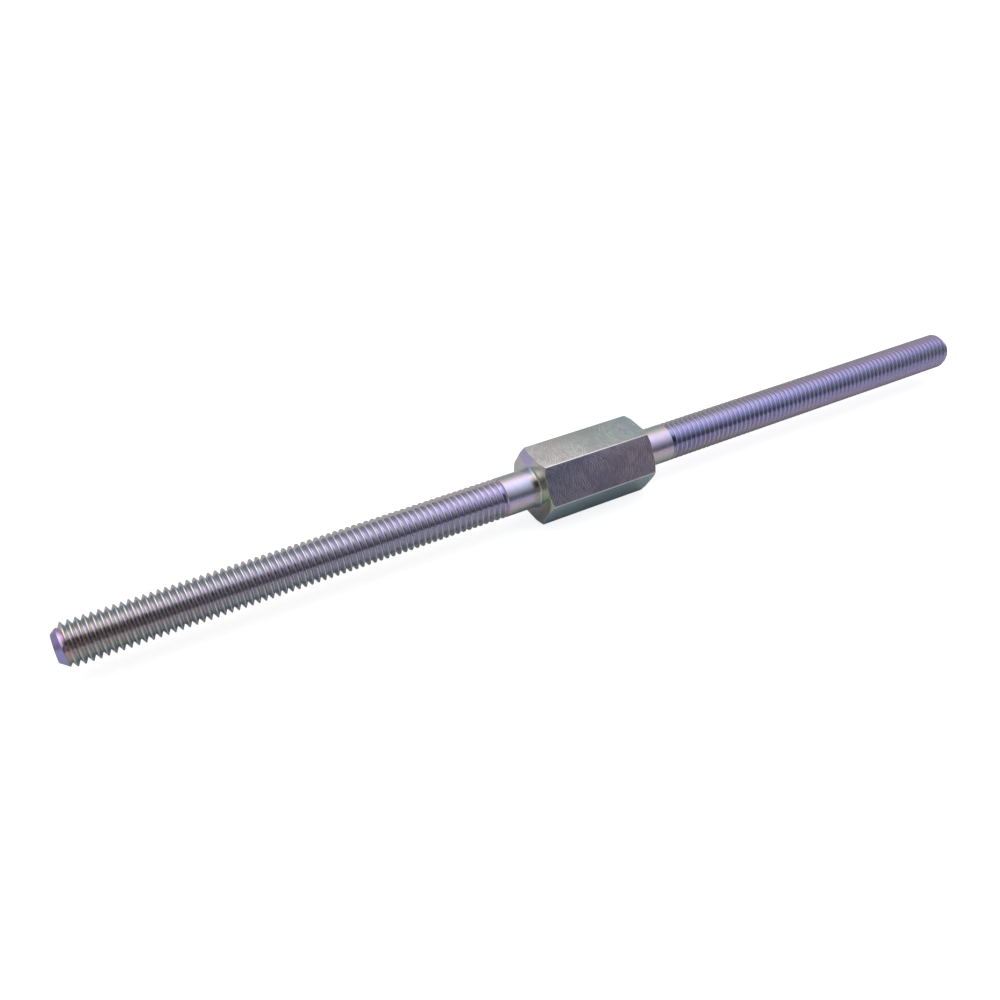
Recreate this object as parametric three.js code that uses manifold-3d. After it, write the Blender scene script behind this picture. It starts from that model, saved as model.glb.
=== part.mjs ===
// A hexagon-centred, double-ended screw for a rigging turnbuckle.
// A spanner hexagon sits in the middle. A right-hand stud leaves it towards -X and a left-hand
// stud leaves it towards +X, so turning the hexagon draws both end fittings together.
// Millimetres. The origin is at the centre of the hexagon, +X runs along the screw towards the
// left-hand stud, and +Z is up through a hexagon flat.

import * as THREE from "three";
import { mergeVertices } from "three/addons/utils/BufferGeometryUtils.js";
import Module from "manifold-3d";

const wasm = await Module();
wasm.setup();

const INCH = 25.4;

// Thread, half inch with 13 turns to the inch
const THREAD_RADIUS = INCH / 4;
const PITCH = INCH / 13;
const THREAD_DEPTH = 1.36;
const ROOT_RADIUS = THREAD_RADIUS - THREAD_DEPTH;
const ROOT_FLAT = 0.3;
const STEPS_PER_TURN = 16;
const THREAD_LENGTH = 132.3;

// Hexagon
const ACROSS_FLATS = (7 / 8) * INCH;
const CORNER_RADIUS = ACROSS_FLATS / Math.sqrt(3);
const HEX_HALF_LENGTH = 19.8;
const FACE_RADIUS = 11.6;
const CHAMFER_ANGLE = THREE.MathUtils.degToRad(30);

// Plain neck, its flare at the hexagon, and the spigot that is seated inside the hexagon
const NECK_RADIUS = THREAD_RADIUS;
const NECK_LENGTH = 11.4;
const FLARE_RADIUS = 0.65;
const SPIGOT_RADIUS = 6;
const SPIGOT_LENGTH = 12;
const SPIGOT_CHAMFER = 0.5;
const SEAT_GAP = 0.3;
const SHOULDER_GAP = 0.1;

// Stations along the stud, measured from the middle of the hexagon
const SHOULDER = HEX_HALF_LENGTH + SHOULDER_GAP;
const NECK_END = HEX_HALF_LENGTH + NECK_LENGTH;
const STUD_END = NECK_END + THREAD_LENGTH;
const RUNOUT_LENGTH = 1.2;
const TIP_CHAMFER_LENGTH = 3;
const TIP_RADIUS = 3.95;

const ROUND_STEPS = 48;
const FLARE_STEPS = 4;

// How far a cutting shape runs past the surface that it must not touch
const CREST_CLEARANCE = 0.1;
const CUT_OVERRUN = 1;

function solidOf(geometry) {
  const bare = geometry.clone();
  bare.deleteAttribute("normal");
  bare.deleteAttribute("uv");
  const merged = mergeVertices(bare, 1e-4);
  return new wasm.Manifold(
    new wasm.Mesh({
      numProp: 3,
      vertProperties: merged.attributes.position.array,
      triVerts: new Uint32Array(merged.index.array),
    }),
  );
}

function geometryOf(solid) {
  const mesh = solid.getMesh();
  const geometry = new THREE.BufferGeometry();
  geometry.setAttribute("position", new THREE.BufferAttribute(mesh.vertProperties, 3));
  geometry.setIndex(new THREE.BufferAttribute(mesh.triVerts, 1));
  geometry.computeVertexNormals();
  return geometry;
}

// A solid of revolution about X, from [x, radius] points that start and end on the axis.
function turned(outline) {
  const profile = outline.map(([x, radius]) => new THREE.Vector2(radius, x));
  return solidOf(new THREE.LatheGeometry(profile, ROUND_STEPS).rotateZ(-Math.PI / 2));
}

// A left-hand screw with sharp crests and flat roots, between two stations on X. Each column of
// points follows the thread's section along X at one angle. The next column is turned and moved
// on by its share of a pitch, so the last column meets the first one a whole thread further on.
function threadedCore(from, to) {
  const flank = (PITCH - ROOT_FLAT) / 2;
  const section = [
    [0, THREAD_RADIUS],
    [flank, ROOT_RADIUS],
    [flank + ROOT_FLAT, ROOT_RADIUS],
  ];
  const rowsPerTurn = section.length;
  const rows = Math.ceil((to - from) / PITCH) * rowsPerTurn;
  const points = [];
  const columnStart = [];
  for (let column = 0; column < STEPS_PER_TURN; column++) {
    const turn = column / STEPS_PER_TURN;
    const angle = -2 * Math.PI * turn;
    const lastRow = column === 0 ? rows + rowsPerTurn : rows;
    columnStart.push(points.length / 3);
    for (let row = 0; row <= lastRow; row++) {
      const [offset, radius] = section[row % rowsPerTurn];
      const x = from + (Math.floor(row / rowsPerTurn) + turn) * PITCH + offset;
      points.push(x, radius * Math.cos(angle), radius * Math.sin(angle));
    }
  }
  const nextColumn = (column, row) =>
    column + 1 < STEPS_PER_TURN ? columnStart[column + 1] + row : columnStart[0] + row + rowsPerTurn;

  const firstCentre = points.length / 3;
  const lastCentre = firstCentre + 1;
  points.push(from, 0, 0, from + (rows / rowsPerTurn + 1) * PITCH, 0, 0);
  const faces = [];
  for (let column = 0; column < STEPS_PER_TURN; column++) {
    const here = columnStart[column];
    for (let row = 0; row < rows; row++) {
      const across = nextColumn(column, row);
      faces.push(here + row, here + row + 1, across);
      faces.push(across, here + row + 1, across + 1);
    }
    faces.push(firstCentre, here, nextColumn(column, 0));
    faces.push(lastCentre, nextColumn(column, rows), here + rows);
  }
  for (let row = 0; row < rowsPerTurn; row++) {
    faces.push(firstCentre, row + 1, row);
    faces.push(lastCentre, rows + row, rows + row + 1);
  }
  const geometry = new THREE.BufferGeometry();
  geometry.setAttribute("position", new THREE.Float32BufferAttribute(points, 3));
  geometry.setIndex(faces);
  return solidOf(geometry);
}

// The plain length of a stud: spigot, shoulder, concave flare, neck and thread runout.
function neckOutline() {
  const spigotEnd = SHOULDER - SPIGOT_LENGTH;
  const flare = [];
  for (let step = 0; step <= FLARE_STEPS; step++) {
    const angle = (step / FLARE_STEPS) * (Math.PI / 2);
    flare.push([
      SHOULDER + FLARE_RADIUS * (1 - Math.cos(angle)),
      NECK_RADIUS + FLARE_RADIUS * (1 - Math.sin(angle)),
    ]);
  }
  return [
    [spigotEnd, 0],
    [spigotEnd, SPIGOT_RADIUS - SPIGOT_CHAMFER],
    [spigotEnd + SPIGOT_CHAMFER, SPIGOT_RADIUS],
    [SHOULDER, SPIGOT_RADIUS],
    ...flare,
    [NECK_END, NECK_RADIUS],
    [NECK_END + RUNOUT_LENGTH, ROOT_RADIUS],
    [NECK_END + RUNOUT_LENGTH, 0],
  ];
}

// The envelope that squares off the threaded length at the neck and chamfers its tip. It stays
// just clear of the crests.
function threadEnvelope() {
  const slope = (THREAD_RADIUS - TIP_RADIUS) / TIP_CHAMFER_LENGTH;
  const radius = THREAD_RADIUS + CREST_CLEARANCE;
  return turned([
    [NECK_END, 0],
    [NECK_END, radius],
    [STUD_END - TIP_CHAMFER_LENGTH - CREST_CLEARANCE / slope, radius],
    [STUD_END, TIP_RADIUS],
    [STUD_END, 0],
  ]);
}

function leftHandStud() {
  const thread = threadedCore(NECK_END - PITCH, STUD_END + PITCH).intersect(threadEnvelope());
  return thread.add(turned(neckOutline()));
}

function hexPrism() {
  const corners = [];
  for (let corner = 0; corner < 6; corner++) {
    const angle = (corner * Math.PI) / 3;
    corners.push(new THREE.Vector2(Math.cos(angle), Math.sin(angle)).multiplyScalar(CORNER_RADIUS));
  }
  const options = { depth: 2 * HEX_HALF_LENGTH, bevelEnabled: false };
  const prism = new THREE.ExtrudeGeometry(new THREE.Shape(corners), options);
  prism.translate(0, 0, -HEX_HALF_LENGTH);
  // Turn the section's first axis to Y, its second to Z and the extrusion to X.
  const toX = new THREE.Matrix4().makeBasis(
    new THREE.Vector3(0, 1, 0),
    new THREE.Vector3(0, 0, 1),
    new THREE.Vector3(1, 0, 0),
  );
  return solidOf(prism.applyMatrix4(toX));
}

// The turned envelope that chamfers the hexagon's corners at both ends.
function hexEnvelope() {
  const radius = CORNER_RADIUS + CUT_OVERRUN;
  const setBack = (radius - FACE_RADIUS) * Math.tan(CHAMFER_ANGLE);
  return turned([
    [-HEX_HALF_LENGTH, 0],
    [-HEX_HALF_LENGTH, FACE_RADIUS],
    [-HEX_HALF_LENGTH + setBack, radius],
    [HEX_HALF_LENGTH - setBack, radius],
    [HEX_HALF_LENGTH, FACE_RADIUS],
    [HEX_HALF_LENGTH, 0],
  ]);
}

// The blind bore for the left-hand stud's spigot.
function seatBore() {
  const bottom = SHOULDER - SPIGOT_LENGTH - SEAT_GAP;
  const mouth = HEX_HALF_LENGTH + CUT_OVERRUN;
  const radius = SPIGOT_RADIUS + SEAT_GAP;
  return turned([
    [bottom, 0],
    [bottom, radius],
    [mouth, radius],
    [mouth, 0],
  ]);
}

function hexBody() {
  const bore = seatBore();
  const blank = hexPrism().intersect(hexEnvelope());
  return blank.subtract(bore).subtract(bore.mirror([1, 0, 0]));
}

function zincPlate(color, roughness) {
  return new THREE.MeshStandardMaterial({ color, roughness, metalness: 1 });
}

function part(name, solid, material) {
  const mesh = new THREE.Mesh(geometryOf(solid), material);
  mesh.name = name;
  return mesh;
}

const turnbuckle = new THREE.Group();
const stud = leftHandStud();
turnbuckle.add(
  part("hex_body", hexBody(), zincPlate(0x9a9aa6, 0.34)),
  part("left_hand_stud", stud, zincPlate(0xa9a3bd, 0.24)),
  part("right_hand_stud", stud.mirror([1, 0, 0]), zincPlate(0xa39fae, 0.24)),
);

export default turnbuckle;
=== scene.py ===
"""A rigging turnbuckle screw in bright zinc plate: a milled hexagon between a right-hand and a
left-hand threaded stud, on a pale studio floor. Everything is in metres, in the CAD model's frame."""

import math
from functools import reduce

import bmesh
import bpy
from mathutils import Matrix, Vector


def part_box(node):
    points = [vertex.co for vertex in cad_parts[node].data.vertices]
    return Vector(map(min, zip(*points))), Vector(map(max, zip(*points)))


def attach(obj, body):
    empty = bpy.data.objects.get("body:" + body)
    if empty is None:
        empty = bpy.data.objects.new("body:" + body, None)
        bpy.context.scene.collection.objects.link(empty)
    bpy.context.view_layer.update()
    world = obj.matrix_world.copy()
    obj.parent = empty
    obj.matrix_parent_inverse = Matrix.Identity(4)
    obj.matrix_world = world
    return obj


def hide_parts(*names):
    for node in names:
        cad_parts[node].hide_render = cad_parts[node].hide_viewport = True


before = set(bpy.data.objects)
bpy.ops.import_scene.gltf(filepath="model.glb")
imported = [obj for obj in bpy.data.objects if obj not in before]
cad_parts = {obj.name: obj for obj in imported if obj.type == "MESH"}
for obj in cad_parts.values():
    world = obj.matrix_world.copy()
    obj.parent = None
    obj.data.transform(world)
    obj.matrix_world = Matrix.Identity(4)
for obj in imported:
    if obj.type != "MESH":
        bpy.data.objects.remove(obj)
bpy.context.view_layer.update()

MM = 0.001

# Thread. Its crests are a little broader than the CAD model's, as real ones are.
CREST_RADIUS = 6.35 * MM
THREADS_PER_INCH = 13
PITCH = 25.4 / THREADS_PER_INCH * MM
THREAD_DEPTH = 1.36 * MM
FLANK_TILT = math.radians(60)
CREST_HALF_FLAT = 0.13 * MM
# A root's radius is the depth that it takes off a sharp V, when the flanks tilt by 60 degrees.
ROOT_FILLET = (PITCH / 2 - CREST_HALF_FLAT) * math.tan(FLANK_TILT) - THREAD_DEPTH
THREAD_PHASE = 0.772  # in turns
TURN_STEPS = 72
SPARE_TURNS = 2
ARC_STEPS = 6
FLANK_ROWS = (0.12, 0.88)  # shares of the way down a flank

# The rest of a stud
NECK_LENGTH = 11.4 * MM
RUNOUT_LENGTH = 1.2 * MM
TIP_CHAMFER_LENGTH = 3 * MM
TIP_RADIUS = 3.95 * MM
FLARE = 0.65 * MM
FLARE_CUTS = 8
SPIGOT_RADIUS = 6 * MM
SPIGOT_CHAMFER = 0.5 * MM
SEAM = 0.02 * MM

# Hexagon
SIDES = 6
SECTOR = 2 * math.pi / SIDES
FACE_RADIUS = 11.6 * MM
FACE_CHAMFER_SLOPE = math.tan(math.radians(30))
BORE_RADIUS = 6.3 * MM
EDGE_ROUNDING = 0.4 * MM
RIM_ROUNDING = 0.25 * MM
RIM_STEPS = 3
CORNER_STEPS = 6
FLAT_STEPS = 24
SEAT_GAP = 0.3 * MM

# Cuts and shading
CUT_TOLERANCE = 1e-9
ON_PLANE = 1e-7
SHARP_ABOVE = math.radians(35)

_, hex_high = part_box("hex_body")
HEX_HALF_LENGTH = hex_high[0]
HALF_FLATS = hex_high[2]
stud_low, stud_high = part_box("left_hand_stud")
SPIGOT_END = stud_low[0]
STUD_END = stud_high[0]
SHOULDER = HEX_HALF_LENGTH + SEAM
FLARE_END = SHOULDER + FLARE
NECK_END = HEX_HALF_LENGTH + NECK_LENGTH
RUNOUT_END = NECK_END + RUNOUT_LENGTH
CHAMFER_START = STUD_END - TIP_CHAMFER_LENGTH
CHAMFER_SLOPE = (CREST_RADIUS - TIP_RADIUS) / TIP_CHAMFER_LENGTH


# ---------------------------------------------------------------- meshes


def new_object(name, bm):
    """A new object in the scene, with the mesh that was built in bm."""
    mesh = bpy.data.meshes.new(name)
    bmesh.ops.recalc_face_normals(bm, faces=bm.faces)
    bm.to_mesh(mesh)
    bm.free()
    piece = bpy.data.objects.new(name, mesh)
    bpy.context.scene.collection.objects.link(piece)
    return piece


def shade(piece):
    """Smooth shading, with creases where two faces meet at more than SHARP_ABOVE."""
    for polygon in piece.data.polygons:
        polygon.use_smooth = True
    piece.data.set_sharp_from_angle(angle=SHARP_ABOVE)


def thread_section():
    """Offsets along the pitch from one edge of a crest round to just before the next crest."""
    root = []
    for step in range(ARC_STEPS + 1):
        tilt = FLANK_TILT * (2 * step / ARC_STEPS - 1)
        root.append(PITCH / 2 + ROOT_FILLET * math.sin(tilt))
    flank = root[0] - CREST_HALF_FLAT
    down = [CREST_HALF_FLAT + flank * share for share in FLANK_ROWS]
    up = [root[-1] + flank * share for share in FLANK_ROWS]
    return [-CREST_HALF_FLAT, 0, CREST_HALF_FLAT] + down + root + up


def thread_depth(along):
    """How far the thread's surface lies below its crest, a distance along the pitch from a crest."""
    from_crest = abs((along + PITCH / 2) % PITCH - PITCH / 2)
    from_root = PITCH / 2 - from_crest
    if from_crest < CREST_HALF_FLAT:
        return 0.0
    if from_root < ROOT_FILLET * math.sin(FLANK_TILT):
        return THREAD_DEPTH - ROOT_FILLET + math.sqrt(ROOT_FILLET**2 - from_root**2)
    return (from_crest - CREST_HALF_FLAT) * math.tan(FLANK_TILT)


def stud_radius(x, turn):
    """The left-hand stud's radius at a station, and at a share of a turn round from +Y to +Z."""
    if x <= FLARE_END:
        rise = 1 - (x - SHOULDER) / FLARE
        return CREST_RADIUS + FLARE * (1 - math.sqrt(max(0.0, 1 - rise * rise)))
    if x <= NECK_END:
        return CREST_RADIUS
    along = x + (turn + THREAD_PHASE) * PITCH
    threaded = CREST_RADIUS - thread_depth(along)
    runout = CREST_RADIUS - THREAD_DEPTH * (x - NECK_END) / RUNOUT_LENGTH
    chamfer = TIP_RADIUS + CHAMFER_SLOPE * (STUD_END - x)
    return min(max(threaded, runout), chamfer)


def helical_sleeve(low, high):
    """An open tube past both stations, whose rows of points follow the left-hand thread. Where its
    last column meets its first, the rows have moved on by one pitch."""
    section = thread_section()
    rows = len(section)
    first = math.floor(low / PITCH) - SPARE_TURNS
    last = math.ceil(high / PITCH) + SPARE_TURNS
    bm = bmesh.new()
    columns = []
    for column in range(TURN_STEPS):
        turn = column / TURN_STEPS
        y = CREST_RADIUS * math.cos(2 * math.pi * turn)
        z = CREST_RADIUS * math.sin(2 * math.pi * turn)
        points = []
        for pitch_number in range(first, last + 1):
            for offset in section:
                x = pitch_number * PITCH + offset - (turn + THREAD_PHASE) * PITCH
                points.append(bm.verts.new((x, y, z)))
        columns.append(points)
    for column in range(TURN_STEPS):
        here = columns[column]
        after = (column + 1) % TURN_STEPS
        there = columns[after]
        shift = 0 if after else rows
        for row in range(shift, len(here) - 1):
            level = row - shift
            bm.faces.new((here[row], here[row + 1], there[level + 1], there[level]))
    return bm


def cut_across(bm, x, keep=None):
    """Cuts the mesh on the plane at x. keep is 1 or -1 to drop what lies on the other side."""
    bmesh.ops.bisect_plane(
        bm,
        geom=bm.verts[:] + bm.edges[:] + bm.faces[:],
        dist=CUT_TOLERANCE,
        plane_co=(x, 0, 0),
        plane_no=(1, 0, 0),
        clear_outer=keep == -1,
        clear_inner=keep == 1,
    )


def open_loop(bm, x):
    """The mesh's open edges on the plane at x."""
    boundary = (edge for edge in bm.edges if edge.is_boundary)
    return [edge for edge in boundary if all(abs(v.co.x - x) < ON_PLANE for v in edge.verts)]


def turn_of(vertex):
    """The share of a turn that a point stands at, from +Y to +Z."""
    return math.atan2(vertex.co.z, vertex.co.y) / (2 * math.pi)


def set_radius(vertex, x, radius):
    """Moves a point to a station and a radius, without turning it about the axis."""
    outward = Vector((0, vertex.co.y, vertex.co.z)).normalized() * radius
    vertex.co = (x, outward.y, outward.z)


def bridge(bm, low, high):
    """A band of faces between two rings of points."""
    for here in range(len(low)):
        after = (here + 1) % len(low)
        bm.faces.new((low[here], low[after], high[after], high[here]))


def draw_out(bm, loop, stations):
    """Extends an open loop through (x, radius) stations and closes it with a flat face. The points
    are taken in their order round the axis, so every run makes the same mesh."""
    ring = sorted({vertex for edge in loop for vertex in edge.verts}, key=turn_of)
    for x, radius in stations:
        drawn = [bm.verts.new(vertex.co) for vertex in ring]
        for vertex in drawn:
            set_radius(vertex, x, radius)
        bridge(bm, ring, drawn)
        ring = drawn
    bm.faces.new(ring)


def left_hand_stud():
    """A stud from its spigot inside the hexagon to its chamfered tip."""
    bm = helical_sleeve(SHOULDER, STUD_END)
    cut_across(bm, SHOULDER, keep=1)
    cut_across(bm, STUD_END, keep=-1)
    for cut in range(1, FLARE_CUTS + 1):
        cut_across(bm, SHOULDER + FLARE * (1 - math.cos(cut / FLARE_CUTS * math.pi / 2)))
    for x in (NECK_END, RUNOUT_END, CHAMFER_START):
        cut_across(bm, x)
    for vertex in bm.verts:
        set_radius(vertex, vertex.co.x, stud_radius(vertex.co.x, turn_of(vertex)))
    spigot = [
        (SHOULDER, SPIGOT_RADIUS),
        (SPIGOT_END + SPIGOT_CHAMFER, SPIGOT_RADIUS),
        (SPIGOT_END, SPIGOT_RADIUS - SPIGOT_CHAMFER),
    ]
    draw_out(bm, open_loop(bm, SHOULDER), spigot)
    bmesh.ops.edgeloop_fill(bm, edges=open_loop(bm, STUD_END))
    return bm


def mirrored(bm):
    """The mesh mirrored end for end, which also changes the hand of its thread."""
    bmesh.ops.transform(bm, matrix=Matrix.Scale(-1, 4, (1, 0, 0)), verts=bm.verts)
    return bm


def hexagon_reach(angle):
    """The distance from the axis to the rounded hexagon, with a flat's middle at angle 0."""
    off_flat = abs((angle + SECTOR / 2) % SECTOR - SECTOR / 2)
    off_corner = SECTOR / 2 - off_flat
    if off_corner >= corner_share():
        return HALF_FLATS / math.cos(off_flat)
    centre = (HALF_FLATS - EDGE_ROUNDING) / math.cos(SECTOR / 2)
    across = centre * math.sin(off_corner)
    return centre * math.cos(off_corner) + math.sqrt(EDGE_ROUNDING**2 - across**2)


def corner_share():
    """The angle at the axis from a corner to the end of its rounding."""
    half_flat = (HALF_FLATS - EDGE_ROUNDING) * math.tan(SECTOR / 2)
    return SECTOR / 2 - math.atan(half_flat / HALF_FLATS)


def hexagon_angles():
    """The angles round the axis that its rings of points stand at, close together on the corners."""
    rounded = corner_share()
    flat_span = SECTOR - 2 * rounded
    angles = []
    for side in range(SIDES):
        corner = SECTOR / 2 + side * SECTOR
        angles += [corner + rounded * (2 * step / CORNER_STEPS - 1) for step in range(CORNER_STEPS)]
        angles += [corner + rounded + flat_span * step / FLAT_STEPS for step in range(FLAT_STEPS)]
    return angles


def hexagon_rim(angles):
    """Rings of (x, radius) from the flats over the chamfered corners and the rounded rim."""
    rings = []
    for step in range(RIM_STEPS + 1):
        turned = math.pi / 2 * step / RIM_STEPS
        on_face = 2 * step > RIM_STEPS
        ring = []
        for reach in map(hexagon_reach, angles):
            rim = min(reach, FACE_RADIUS)
            edge = rim if on_face else reach
            set_back = (edge - rim) * FACE_CHAMFER_SLOPE
            x = HEX_HALF_LENGTH - set_back - RIM_ROUNDING * (1 - math.sin(turned))
            ring.append((x, edge - RIM_ROUNDING * (1 - math.cos(turned))))
        rings.append(ring)
    return rings


def hexagon_body():
    """Rings of points round the axis, from the bottom of one bore, over the outside, to the other."""
    angles = hexagon_angles()
    count = len(angles)
    bore_ends = (HEX_HALF_LENGTH, SPIGOT_END - SEAT_GAP)
    bore = [[(x, BORE_RADIUS)] * count for x in bore_ends]
    half = hexagon_rim(angles) + bore
    rings = [[(-x, radius) for x, radius in ring] for ring in half[::-1]] + half
    bm = bmesh.new()
    loops = []
    for ring in rings:
        loop = []
        for angle, (x, radius) in zip(angles, ring):
            loop.append(bm.verts.new((x, -radius * math.sin(angle), radius * math.cos(angle))))
        loops.append(loop)
    for low, high in zip(loops, loops[1:]):
        bridge(bm, low, high)
    bm.faces.new(loops[0])
    bm.faces.new(loops[-1])
    return bm


# ---------------------------------------------------------------- materials

# The film over the zinc. Its interference colours run from a thin film at 0 to a thick one, and
# its shares are for the screw's two ends, -X and +X.
FILM_COLOURS = (
    (0.00, (0.84, 0.80, 0.69)),
    (0.055, (0.82, 0.79, 0.72)),
    (0.10, (0.66, 0.68, 0.92)),
    (0.15, (0.64, 0.63, 0.93)),
    (0.22, (0.78, 0.67, 0.93)),
    (0.30, (0.86, 0.74, 0.88)),
    (0.43, (0.80, 0.76, 0.75)),
    (0.60, (0.69, 0.77, 0.76)),
    (0.75, (0.68, 0.84, 0.94)),
    (0.90, (0.57, 0.70, 0.79)),
)
# The side that the camera looks from. How a surface faces it sets the film, a painted interference
# sheen that does not move with the view.
SHEEN_VIEW_SIDE = math.radians(49)  # from +Z towards -Y
SHEEN_SIDE_SHARES = (1.03, 0.70)
SHEEN_END_SHARES = (0.0, 0.78)
CLOUD_SIZE = 16 * MM
CLOUD_FILM = 0.017

# Noise
NOISE_RANGE = (0.35, 0.65)
NOISE_DETAIL = 2.0
MOTTLE = (0.97, 1.02)

# Studs. Depths are below the crests, and films and polishes are what a place gains or loses.
STUD_MOTTLE_SIZE = 2.5 * MM
GRAIN_SIZE = 1.4 * MM
GRAIN_ROUGHNESS = (0.2, 0.28)
PIT_SIZE = 0.9 * MM
PIT_SHARE = 0.6
STUD_BUMP = 0.005 * MM
TURNED_PITCH = 0.4 * MM
TURNED_LENGTH = 16 * MM
TURNED_DETAIL = 3.0
CREST_DEPTHS = (0.02 * THREAD_DEPTH, 0.1 * THREAD_DEPTH)
ROOT_DEPTHS = (0.9 * THREAD_DEPTH, THREAD_DEPTH)
ROOT_SHARE = 0.3
FLANK_DEPTHS = (0.2 * THREAD_DEPTH, 0.9 * THREAD_DEPTH)
FLANK_POLISH = 0.1
SIDE_BLEND = 0.3
UNEVEN_AT_NECK = 0.5
CHAMFER_FILM = (0.08, 0.2)
CHAMFER_BLEND = 1 * MM
FLARE_POLISH = 0.08
FLARE_FILM = 0.32
FLARE_BLEND = 2 * MM
NEAR_PLATE = {
    "film": -0.23,
    "down_flank": (-0.14, 0.22),
    "vivid": 1.5,
    "uneven": 0.4,
    "dulled": 0.0,
    "crest_tints": ((1.0, 1.0, 1.0), (1.0, 1.0, 1.0)),
    "flank_tints": ((1.13, 0.96, 1.0), (1.08, 0.94, 0.82)),
}
FAR_PLATE = {
    "film": 0.15,
    "down_flank": (-0.05, 0.07),
    "vivid": 1.05,
    "uneven": 0.05,
    "dulled": 0.14,
    "crest_tints": ((1.0, 1.0, 1.0), (0.84, 0.77, 0.92)),
    "flank_tints": ((0.84, 0.81, 0.92), (0.93, 0.86, 1.0)),
}

# Hexagon
HEX_MOTTLE_SIZE = 4 * MM
END_BLEND = (0.3, 0.7)
FLATS_FILM_SHARE = 1.25
FLATS_FILM_DRIFT = 0.05
ENDS_FILM = 0.45
THIN_SPOT = (5 * MM, 12 * MM)
THIN_SPOT_REACH = (5 * MM, 8 * MM)
THIN_SPOT_FILM = -0.28
# A painted reflection of the neck on the hexagon's end faces: a yellow tint round this (y, z) centre
# beside the neck.
NECK_REFLECTION = (-8 * MM, 4 * MM)
NECK_REFLECTION_REACH = (4 * MM, 8 * MM)
NECK_REFLECTION_TINT = (0.88, 1.0, 0.66)
# A painted highlight along the corners between the flats, out between these radii.
EDGE_HIGHLIGHT_RADII = (12.66 * MM, 12.76 * MM)
EDGE_HIGHLIGHT_SHARE = 0.8
EDGE_HIGHLIGHT = (0.93, 0.93, 0.96, 1.0)
CUTTER_RADIUS = 7.9 * MM
CUTTER_FEED = 0.9 * MM
ARC_SPECK_SIZE = 0.9 * MM
ARC_SPECK_STRETCH = 0.4
ARC_PATCH_SIZE = 9 * MM
ARC_PATCHES = (0.05, 1.0)
ARC_SEEDS = (3.0, 7.0)
FLAT_SEED_STEP = 1.7
PASS_TURN = -2.0
PASS_DEPTH = 0.42
PASS_VARIATION = 0.42
# A painted glint on the milling arcs' ridges and painted shade between them.
GLINT_DIP = -0.45
GLINT_RISE = 1.8
MILLED_HEIGHTS = (0.0, 0.5)
MILLED_ROUGHNESS = (0.32, 0.22)
END_POLISH = 0.15
HEX_BUMP = 0.015 * MM


class Wiring:
    """A node tree built by calls that add nodes and return what they put out."""

    def __init__(self, tree):
        self.tree = tree

    def plug(self, socket, value):
        """Feeds a socket with another node's output, or sets its own value."""
        if isinstance(value, bpy.types.NodeSocket):
            self.tree.links.new(value, socket)
        else:
            socket.default_value = value

    def node(self, kind, output, **inputs):
        made = self.tree.nodes.new(kind)
        for name, value in inputs.items():
            self.plug(made.inputs[name], value)
        return made.outputs[output]

    def maths(self, operation, *values):
        made = self.tree.nodes.new("ShaderNodeMath")
        made.operation = operation
        for socket, value in zip(made.inputs, values):
            self.plug(socket, value)
        return made.outputs[0]

    def total(self, *values):
        return reduce(lambda first, second: self.maths("ADD", first, second), values)

    def product(self, *values):
        return reduce(lambda first, second: self.maths("MULTIPLY", first, second), values)

    def parts(self, vector):
        """The x, y and z of a vector."""
        split = self.tree.nodes.new("ShaderNodeSeparateXYZ")
        self.plug(split.inputs[0], vector)
        return split.outputs[0], split.outputs[1], split.outputs[2]

    def radius(self, y, z):
        """The length of a vector across the screw's axis."""
        return self.maths("SQRT", self.total(self.product(y, y), self.product(z, z)))

    def vector(self, x, y, z):
        made = self.tree.nodes.new("ShaderNodeCombineXYZ")
        for socket, value in zip(made.inputs, (x, y, z)):
            self.plug(socket, value)
        return made.outputs[0]

    def noise(self, point, size, detail=NOISE_DETAIL):
        """Noise with cells about size across."""
        return self.node("ShaderNodeTexNoise", "Fac", Vector=point, Scale=1 / size, Detail=detail)

    def spread(self, value, low, high, to_low, to_high, interpolation="LINEAR"):
        """value moved from one range to another, and held at its ends."""
        made = self.tree.nodes.new("ShaderNodeMapRange")
        made.interpolation_type = interpolation
        for socket, number in zip(made.inputs, (value, low, high, to_low, to_high)):
            self.plug(socket, number)
        return made.outputs[0]

    def speckle(self, point, size, low, high):
        """Noise with cells about size across, that runs from low to high."""
        return self.spread(self.noise(point, size), *NOISE_RANGE, low, high)

    def ramp(self, value, stops):
        """The colour at value on a ramp of (position, colour) stops."""
        made = self.tree.nodes.new("ShaderNodeValToRGB")
        self.plug(made.inputs[0], value)
        elements = made.color_ramp.elements
        elements.remove(elements[1])
        elements[0].position = stops[0][0]
        elements[0].color = (*stops[0][1], 1)
        for position, colour in stops[1:]:
            elements.new(position).color = (*colour, 1)
        return made.outputs[0]

    def mixed(self, share, first, second):
        """A share of the second colour mixed into the first."""
        made = self.tree.nodes.new("ShaderNodeMix")
        made.data_type = "RGBA"
        for name, value in (("Factor", share), ("A", first), ("B", second)):
            self.plug(next(s for s in made.inputs if s.name == name and s.enabled), value)
        return next(s for s in made.outputs if s.enabled)

    def vector_maths(self, operation, output, first, second):
        made = self.tree.nodes.new("ShaderNodeVectorMath")
        made.operation = operation
        for socket, value in zip(made.inputs, (first, second)):
            self.plug(socket, value)
        return made.outputs[output]

    def times(self, first, second):
        """Two colours, or a colour and a number, multiplied."""
        return self.vector_maths("MULTIPLY", "Vector", first, second)


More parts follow.
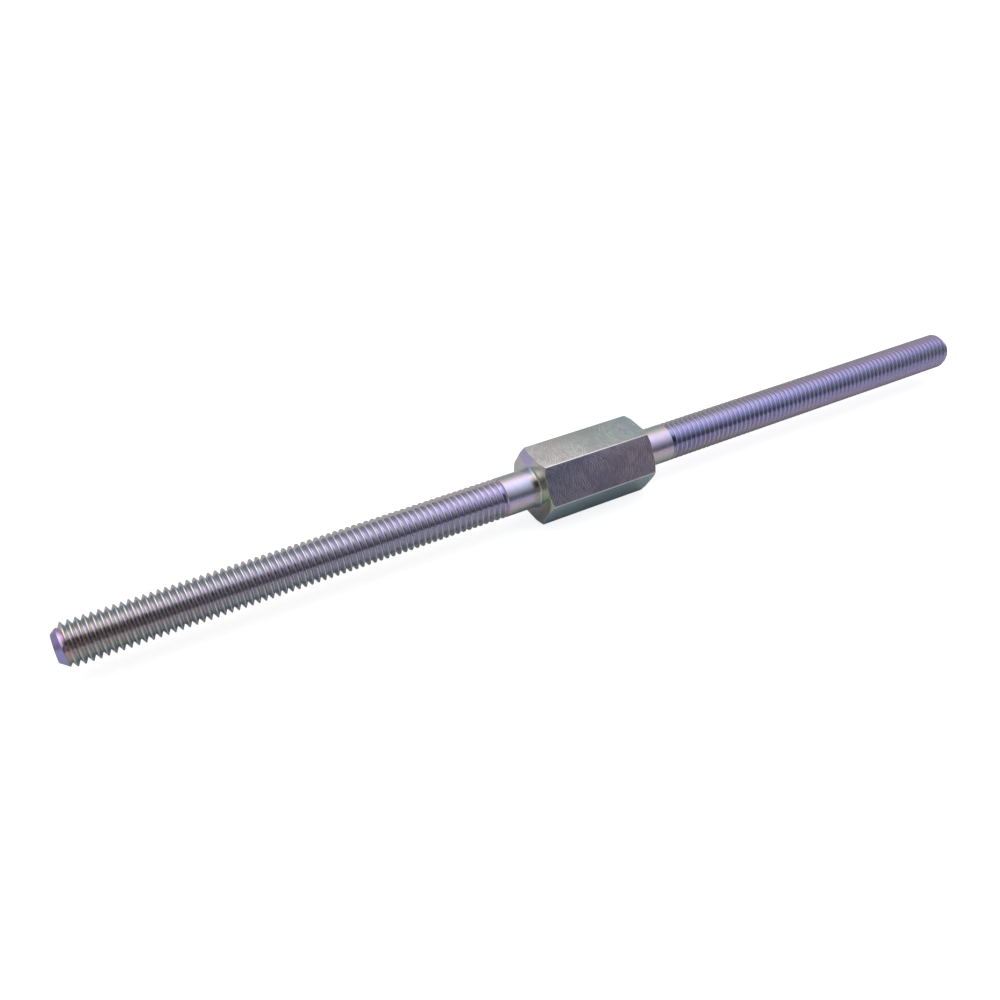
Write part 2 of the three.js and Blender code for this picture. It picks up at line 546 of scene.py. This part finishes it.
class Shading(Wiring):
    """The node tree of a new material."""

    def __init__(self, name):
        self.material = bpy.data.materials.new(name)
        self.material.use_nodes = True
        super().__init__(self.material.node_tree)
        self.shader = self.tree.nodes["Principled BSDF"]

    def place(self):
        """The surface point, and its x, y and z, in the CAD frame."""
        point = self.node("ShaderNodeTexCoord", "Object")
        return point, self.parts(point)

    def normal(self):
        """The x, y and z of the way that the surface faces."""
        return self.parts(self.node("ShaderNodeNewGeometry", "Normal"))

    def metal(self, colour, roughness, height, depth):
        """The finished metal. depth is how deep in metres a height of 1 is."""
        bump = self.node("ShaderNodeBump", "Normal", Height=height, Strength=1.0, Distance=depth)
        self.plug(self.shader.inputs["Base Color"], colour)
        self.plug(self.shader.inputs["Roughness"], roughness)
        self.plug(self.shader.inputs["Normal"], bump)
        self.shader.inputs["Metallic"].default_value = 1
        return self.material


def painted_sheen_film(shading, x):
    """The film's thickness by the way a surface faces, which paints the interference sheen's shift
    with viewing angle into the colour. It is thin where a surface faces the camera's side or straight
    away from it, and thick on the sides between. Towards +X it also gets thinner on the surfaces that
    face -X, and thicker on those that face +X."""
    normal_x, normal_y, normal_z = shading.normal()
    toward_view = shading.total(
        shading.product(normal_y, -math.sin(SHEEN_VIEW_SIDE)),
        shading.product(normal_z, math.cos(SHEEN_VIEW_SIDE)),
    )
    side_share = shading.spread(x, -STUD_END, STUD_END, *SHEEN_SIDE_SHARES)
    end_share = shading.spread(x, -STUD_END, STUD_END, *SHEEN_END_SHARES)
    thinned = shading.product(shading.maths("ABSOLUTE", toward_view), side_share)
    sheen_end_shift = shading.product(normal_x, end_share)
    return shading.total(shading.maths("SUBTRACT", 1.0, thinned), sheen_end_shift)


def film_colour(shading, point, film):
    """The plate's colour under a film that also varies a little from cloud to cloud."""
    clouds = shading.speckle(point, CLOUD_SIZE, -CLOUD_FILM, CLOUD_FILM)
    return shading.ramp(shading.total(film, clouds), FILM_COLOURS)


def turned_marks(shading, x, y, z):
    """Rings left by turning, a little uneven on the way round."""
    stretched = shading.vector(shading.product(x, TURNED_LENGTH / TURNED_PITCH), y, z)
    return shading.noise(stretched, TURNED_LENGTH, TURNED_DETAIL)


def stud_places(shading, x, y, z):
    """How near a point is to the tip, how far it is on the chamfer, by the flare and on a flank,
    each from 0 to 1, and its depth below the crests."""
    along = shading.maths("ABSOLUTE", x)
    to_tip = shading.spread(along, NECK_END, STUD_END, 0.0, 1.0)
    on_chamfer = shading.spread(along, CHAMFER_START, CHAMFER_START + CHAMFER_BLEND, 0.0, 1.0)
    by_flare = shading.spread(along, FLARE_END, FLARE_END + FLARE_BLEND, 1.0, 0.0)
    depth = shading.maths("SUBTRACT", CREST_RADIUS, shading.radius(y, z))
    on_flank = shading.product(
        shading.spread(depth, *CREST_DEPTHS, 0.0, 1.0),
        shading.spread(depth, *ROOT_DEPTHS, 1.0, ROOT_SHARE),
        shading.maths("SUBTRACT", 1.0, on_chamfer),
    )
    return to_tip, on_chamfer, by_flare, on_flank, depth


def stud_plate(name, film, down_flank, vivid, uneven, dulled, crest_tints, flank_tints):
    """The plate on one stud. The thread gains film thickness towards the tip by film. Its flanks
    also gain it from crest to root over down_flank, and those that face +X have uneven more at the
    tip. vivid is the saturation off the crests, dulled is the roughness gained towards the tip, and
    each pair of tints is for the neck and the tip."""
    shading = Shading(name)
    point, (x, y, z) = shading.place()
    to_tip, on_chamfer, by_flare, on_flank, depth = stud_places(shading, x, y, z)
    off_chamfer = shading.maths("SUBTRACT", 1.0, on_chamfer)

    normal_x, _, normal_z = shading.normal()
    one_side = shading.spread(normal_x, -SIDE_BLEND, SIDE_BLEND, 0.0, uneven)
    flank_film = shading.total(
        shading.spread(depth, *FLANK_DEPTHS, *down_flank),
        shading.product(one_side, shading.spread(to_tip, 0.0, 1.0, UNEVEN_AT_NECK, 1.0)),
    )
    # The thickness includes the painted interference sheen, set by how each surface faces the
    # camera's side.
    thickness = shading.total(
        shading.product(off_chamfer, painted_sheen_film(shading, x)),
        shading.product(off_chamfer, to_tip, film),
        shading.product(by_flare, FLARE_FILM),
        shading.product(on_flank, flank_film),
        shading.product(on_chamfer, shading.spread(normal_z, -1.0, 1.0, *CHAMFER_FILM)),
    )

    mottle = shading.speckle(point, STUD_MOTTLE_SIZE, *MOTTLE)
    off_crest = shading.total(on_flank, on_chamfer)
    colour = shading.node(
        "ShaderNodeHueSaturation",
        "Color",
        Color=film_colour(shading, point, thickness),
        Saturation=shading.spread(off_crest, 0.0, 1.0, 1.0, vivid),
    )
    plain = shading.times(colour, mottle)
    crest, flank = (
        shading.times(plain, shading.ramp(to_tip, ((0.0, tints[0]), (1.0, tints[1]))))
        for tints in (crest_tints, flank_tints)
    )

    roughness = shading.total(
        shading.speckle(point, GRAIN_SIZE, *GRAIN_ROUGHNESS),
        shading.product(on_flank, -FLANK_POLISH),
        shading.product(to_tip, dulled),
        shading.product(by_flare, -FLARE_POLISH),
    )
    pits = shading.product(shading.noise(point, PIT_SIZE), PIT_SHARE)
    height = shading.total(turned_marks(shading, x, y, z), pits)
    return shading.metal(shading.mixed(on_flank, crest, flank), roughness, height, STUD_BUMP)


def flat_and_across(shading, y, z):
    """The number of the flat that a point is on, 0 on top, and its distance off its middle."""
    around = shading.maths("ARCTAN2", y, z)
    flat = shading.maths("ROUND", shading.maths("DIVIDE", around, SECTOR))
    off_middle = shading.maths("SUBTRACT", around, shading.product(flat, SECTOR))
    return flat, shading.product(shading.radius(y, z), shading.maths("SINE", off_middle))


def milling_arcs(shading, x, flat, across):
    """Crescents swept across each flat by the milling cutter, whose path is the flat's middle."""
    square = shading.product(across, across)
    reach = shading.maths("SQRT", shading.maths("SUBTRACT", CUTTER_RADIUS**2, square))
    trailing = shading.maths("ADD", x, reach)
    leading = shading.maths("SUBTRACT", x, reach)
    heights = []
    for edge, seed in zip((trailing, leading), ARC_SEEDS):
        own = shading.total(shading.product(flat, FLAT_SEED_STEP), seed)
        wave = shading.maths("SINE", shading.product(edge, math.pi / CUTTER_FEED))
        ridge = shading.maths("SUBTRACT", 1.0, shading.maths("ABSOLUTE", wave))
        specked = shading.vector(edge, shading.product(across, ARC_SPECK_STRETCH), own)
        specks = shading.speckle(specked, ARC_SPECK_SIZE, 0.0, 1.0)
        patches = shading.speckle(shading.vector(x, across, own), ARC_PATCH_SIZE, *ARC_PATCHES)
        heights.append(shading.product(ridge, specks, patches))
    return shading.total(*heights)


def spot(shading, y, z, centre, reach):
    """1 round a (y, z) centre, which falls to 0 between the two distances of reach."""
    off_y = shading.total(y, -centre[0])
    off_z = shading.total(z, -centre[1])
    return shading.spread(shading.radius(off_y, off_z), *reach, 1.0, 0.0)


def hexagon_plate(name):
    """The plate on the hexagon, over milled flats and turned ends."""
    shading = Shading(name)
    point, (x, y, z) = shading.place()
    on_end = shading.spread(shading.maths("ABSOLUTE", shading.normal()[0]), *END_BLEND, 0.0, 1.0)
    on_flat = shading.maths("SUBTRACT", 1.0, on_end)
    flat, across = flat_and_across(shading, y, z)

    # The film drifts along the flats, one way and the other by turns.
    every_other = shading.maths("COSINE", shading.product(flat, math.pi))
    drift = shading.product(every_other, x, FLATS_FILM_DRIFT / HEX_HALF_LENGTH)
    # The flats' film also carries the painted interference sheen, set by how they face the camera's
    # side.
    flat_film = shading.total(shading.product(painted_sheen_film(shading, x), FLATS_FILM_SHARE), drift)
    thinned = shading.product(spot(shading, y, z, THIN_SPOT, THIN_SPOT_REACH), THIN_SPOT_FILM)
    end_film = shading.total(thinned, ENDS_FILM)
    film = shading.total(shading.product(on_flat, flat_film), shading.product(on_end, end_film))

    # Each flat was milled in its own pass, so the arcs' depth differs from flat to flat.
    arcs = milling_arcs(shading, x, flat, across)
    pass_wave = shading.maths("SINE", shading.product(flat, PASS_TURN))
    pass_depth = shading.total(shading.product(pass_wave, PASS_VARIATION), PASS_DEPTH)
    depth = shading.product(pass_depth, on_flat)
    # The arcs carry a painted glint on their ridges and painted shade between them, stronger where
    # the arcs are deeper.
    glint = shading.total(shading.product(arcs, GLINT_RISE), GLINT_DIP)
    arc_glints = shading.total(shading.product(depth, glint), 1.0)
    mottle = shading.speckle(point, HEX_MOTTLE_SIZE, *MOTTLE)
    plain = shading.times(film_colour(shading, point, film), shading.product(mottle, arc_glints))

    # Painted reflection of the neck, a yellow tint on the end faces beside it.
    neck_reflection = shading.product(spot(shading, y, z, NECK_REFLECTION, NECK_REFLECTION_REACH), on_end)
    colour = shading.mixed(neck_reflection, plain, shading.times(plain, NECK_REFLECTION_TINT))

    # The corners between the flats carry a painted highlight, a near white line.
    edge_highlight = shading.spread(shading.radius(y, z), *EDGE_HIGHLIGHT_RADII, 0.0, EDGE_HIGHLIGHT_SHARE)
    colour = shading.mixed(edge_highlight, colour, EDGE_HIGHLIGHT)

    height = shading.product(arcs, depth)
    milled = shading.spread(height, *MILLED_HEIGHTS, *MILLED_ROUGHNESS)
    roughness = shading.total(milled, shading.product(on_end, -END_POLISH))
    return shading.metal(colour, roughness, height, HEX_BUMP)


# ---------------------------------------------------------------- studio

# Surroundings. The levels are (height, brightness), from the horizon at 0 to overhead at 1.
BACK_LEVELS = (
    (0.0, 0.3),
    (0.3, 0.36),
    (0.58, 0.44),
    (0.77, 0.76),
    (0.88, 1.1),
    (0.95, 1.5),
    (1.0, 1.4),
)
FRONT_LEVELS = (
    (0.0, 0.16),
    (0.15, 0.11),
    (0.33, 0.13),
    (0.55, 0.34),
    (0.75, 0.68),
    (0.87, 1.0),
    (0.95, 1.5),
    (1.0, 1.4),
)
FRONT_BLEND = (0.3, -0.4)  # along +Y
FRONT_LEAN = 0.4
FRONT_LEAN_FROM = 0.42
DARK_PATCH = (-0.1, -0.64, 0.76)
DARK_PATCH_ANGLES = (26, 12)  # in degrees, at its rim and its core
DARK_PATCH_LIGHT = 0.15
WALL_GREY = 1.0

# Floor
FLOOR_SIZE = 4
FLOOR_GAP = 0.1 * MM
FLOOR_GREY = 0.75
FLOOR_ROUGHNESS = 0.9
FLOOR_GLOW = 0.8

# Camera. Its angles are in degrees.
CAMERA_PLACE = Vector((-148.02, -211.33, 184.19)) * MM
CAMERA_AZIMUTH = 28.919
CAMERA_ELEVATION = 37.469
CAMERA_ROLL = 0.206
CAMERA_LENS = 35.093
CAMERA_CLIP = 10 * MM


def grey(level):
    return (level, level, level, 1)


def greys(levels):
    """The stops of a ramp in greys."""
    return [(height, (level, level, level)) for height, level in levels]


def add_camera():
    """Looks down on the near end of the right-hand stud, with the hexagon in the middle."""
    data = bpy.data.cameras.new("camera")
    data.lens = CAMERA_LENS
    data.clip_start = CAMERA_CLIP
    camera = bpy.data.objects.new("camera", data)
    place = Matrix.Translation(CAMERA_PLACE)
    turn = Matrix.Rotation(math.radians(-CAMERA_AZIMUTH), 4, "Z")
    tilt = Matrix.Rotation(math.radians(90 - CAMERA_ELEVATION), 4, "X")
    roll = Matrix.Rotation(math.radians(-CAMERA_ROLL), 4, "Z")
    camera.matrix_world = place @ turn @ tilt @ roll
    bpy.context.scene.collection.objects.link(camera)
    bpy.context.scene.camera = camera


def floor_paint():
    """Pale matt grey, with a glow that only the camera sees."""
    shading = Shading("floor")
    seen = shading.node("ShaderNodeLightPath", "Is Camera Ray")
    for name, value in (
        ("Base Color", grey(FLOOR_GREY)),
        ("Roughness", FLOOR_ROUGHNESS),
        ("Emission Color", grey(1)),
        ("Emission Strength", shading.product(seen, FLOOR_GLOW)),
    ):
        shading.plug(shading.shader.inputs[name], value)
    return shading.material


def add_floor():
    bm = bmesh.new()
    bmesh.ops.create_grid(bm, x_segments=1, y_segments=1, size=FLOOR_SIZE)
    bmesh.ops.translate(bm, verts=bm.verts, vec=(0, 0, -HALF_FLATS - FLOOR_GAP))
    floor = new_object("floor", bm)
    floor.data.materials.append(floor_paint())


def add_surroundings():
    """Soft light from overhead that falls off to the horizon, and further on the camera's side,
    where it reaches lower towards +X and has a dark patch. The camera itself sees a plain pale
    wall."""
    world = bpy.data.worlds.new("studio")
    world.use_nodes = True
    bpy.context.scene.world = world
    studio = Wiring(world.node_tree)
    direction = studio.node("ShaderNodeTexCoord", "Generated")
    x, y, z = studio.parts(direction)
    lowered = studio.maths("MULTIPLY_ADD", x, FRONT_LEAN, -FRONT_LEAN * FRONT_LEAN_FROM)
    behind = studio.ramp(z, greys(BACK_LEVELS))
    front = studio.ramp(studio.maths("ADD", z, lowered), greys(FRONT_LEVELS))
    to_front = studio.spread(y, *FRONT_BLEND, 0.0, 1.0, "SMOOTHSTEP")
    light = studio.mixed(to_front, behind, front)

    patch = Vector(DARK_PATCH).normalized()
    toward = studio.vector_maths("DOT_PRODUCT", "Value", direction, patch)
    rim, core = (math.cos(math.radians(angle)) for angle in DARK_PATCH_ANGLES)
    strength = studio.spread(toward, rim, core, 1.0, DARK_PATCH_LIGHT, "SMOOTHSTEP")

    seen = studio.node("ShaderNodeLightPath", "Is Camera Ray")
    colour = studio.mixed(seen, studio.times(light, strength), grey(WALL_GREY))
    studio.plug(world.node_tree.nodes["Background"].inputs["Color"], colour)


add_camera()
add_floor()
add_surroundings()
bpy.context.scene.view_settings.view_transform = "Standard"

near_zinc = stud_plate("stud_zinc_near", **NEAR_PLATE)
far_zinc = stud_plate("stud_zinc_far", **FAR_PLATE)
hex_zinc = hexagon_plate("hexagon_zinc")

near_stud = new_object("stud_right_hand", mirrored(left_hand_stud()))
far_stud = new_object("stud_left_hand", left_hand_stud())
hexagon = new_object("hexagon", hexagon_body())
for piece, material, node, slot in (
    (near_stud, near_zinc, "right_hand_stud", "stud_zinc"),
    (far_stud, far_zinc, "left_hand_stud", "stud_zinc"),
    (hexagon, hex_zinc, "hex_body", "hex_zinc"),
):
    piece.data.materials.append(material)
    shade(piece)
    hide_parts(node)
    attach(piece, "root")
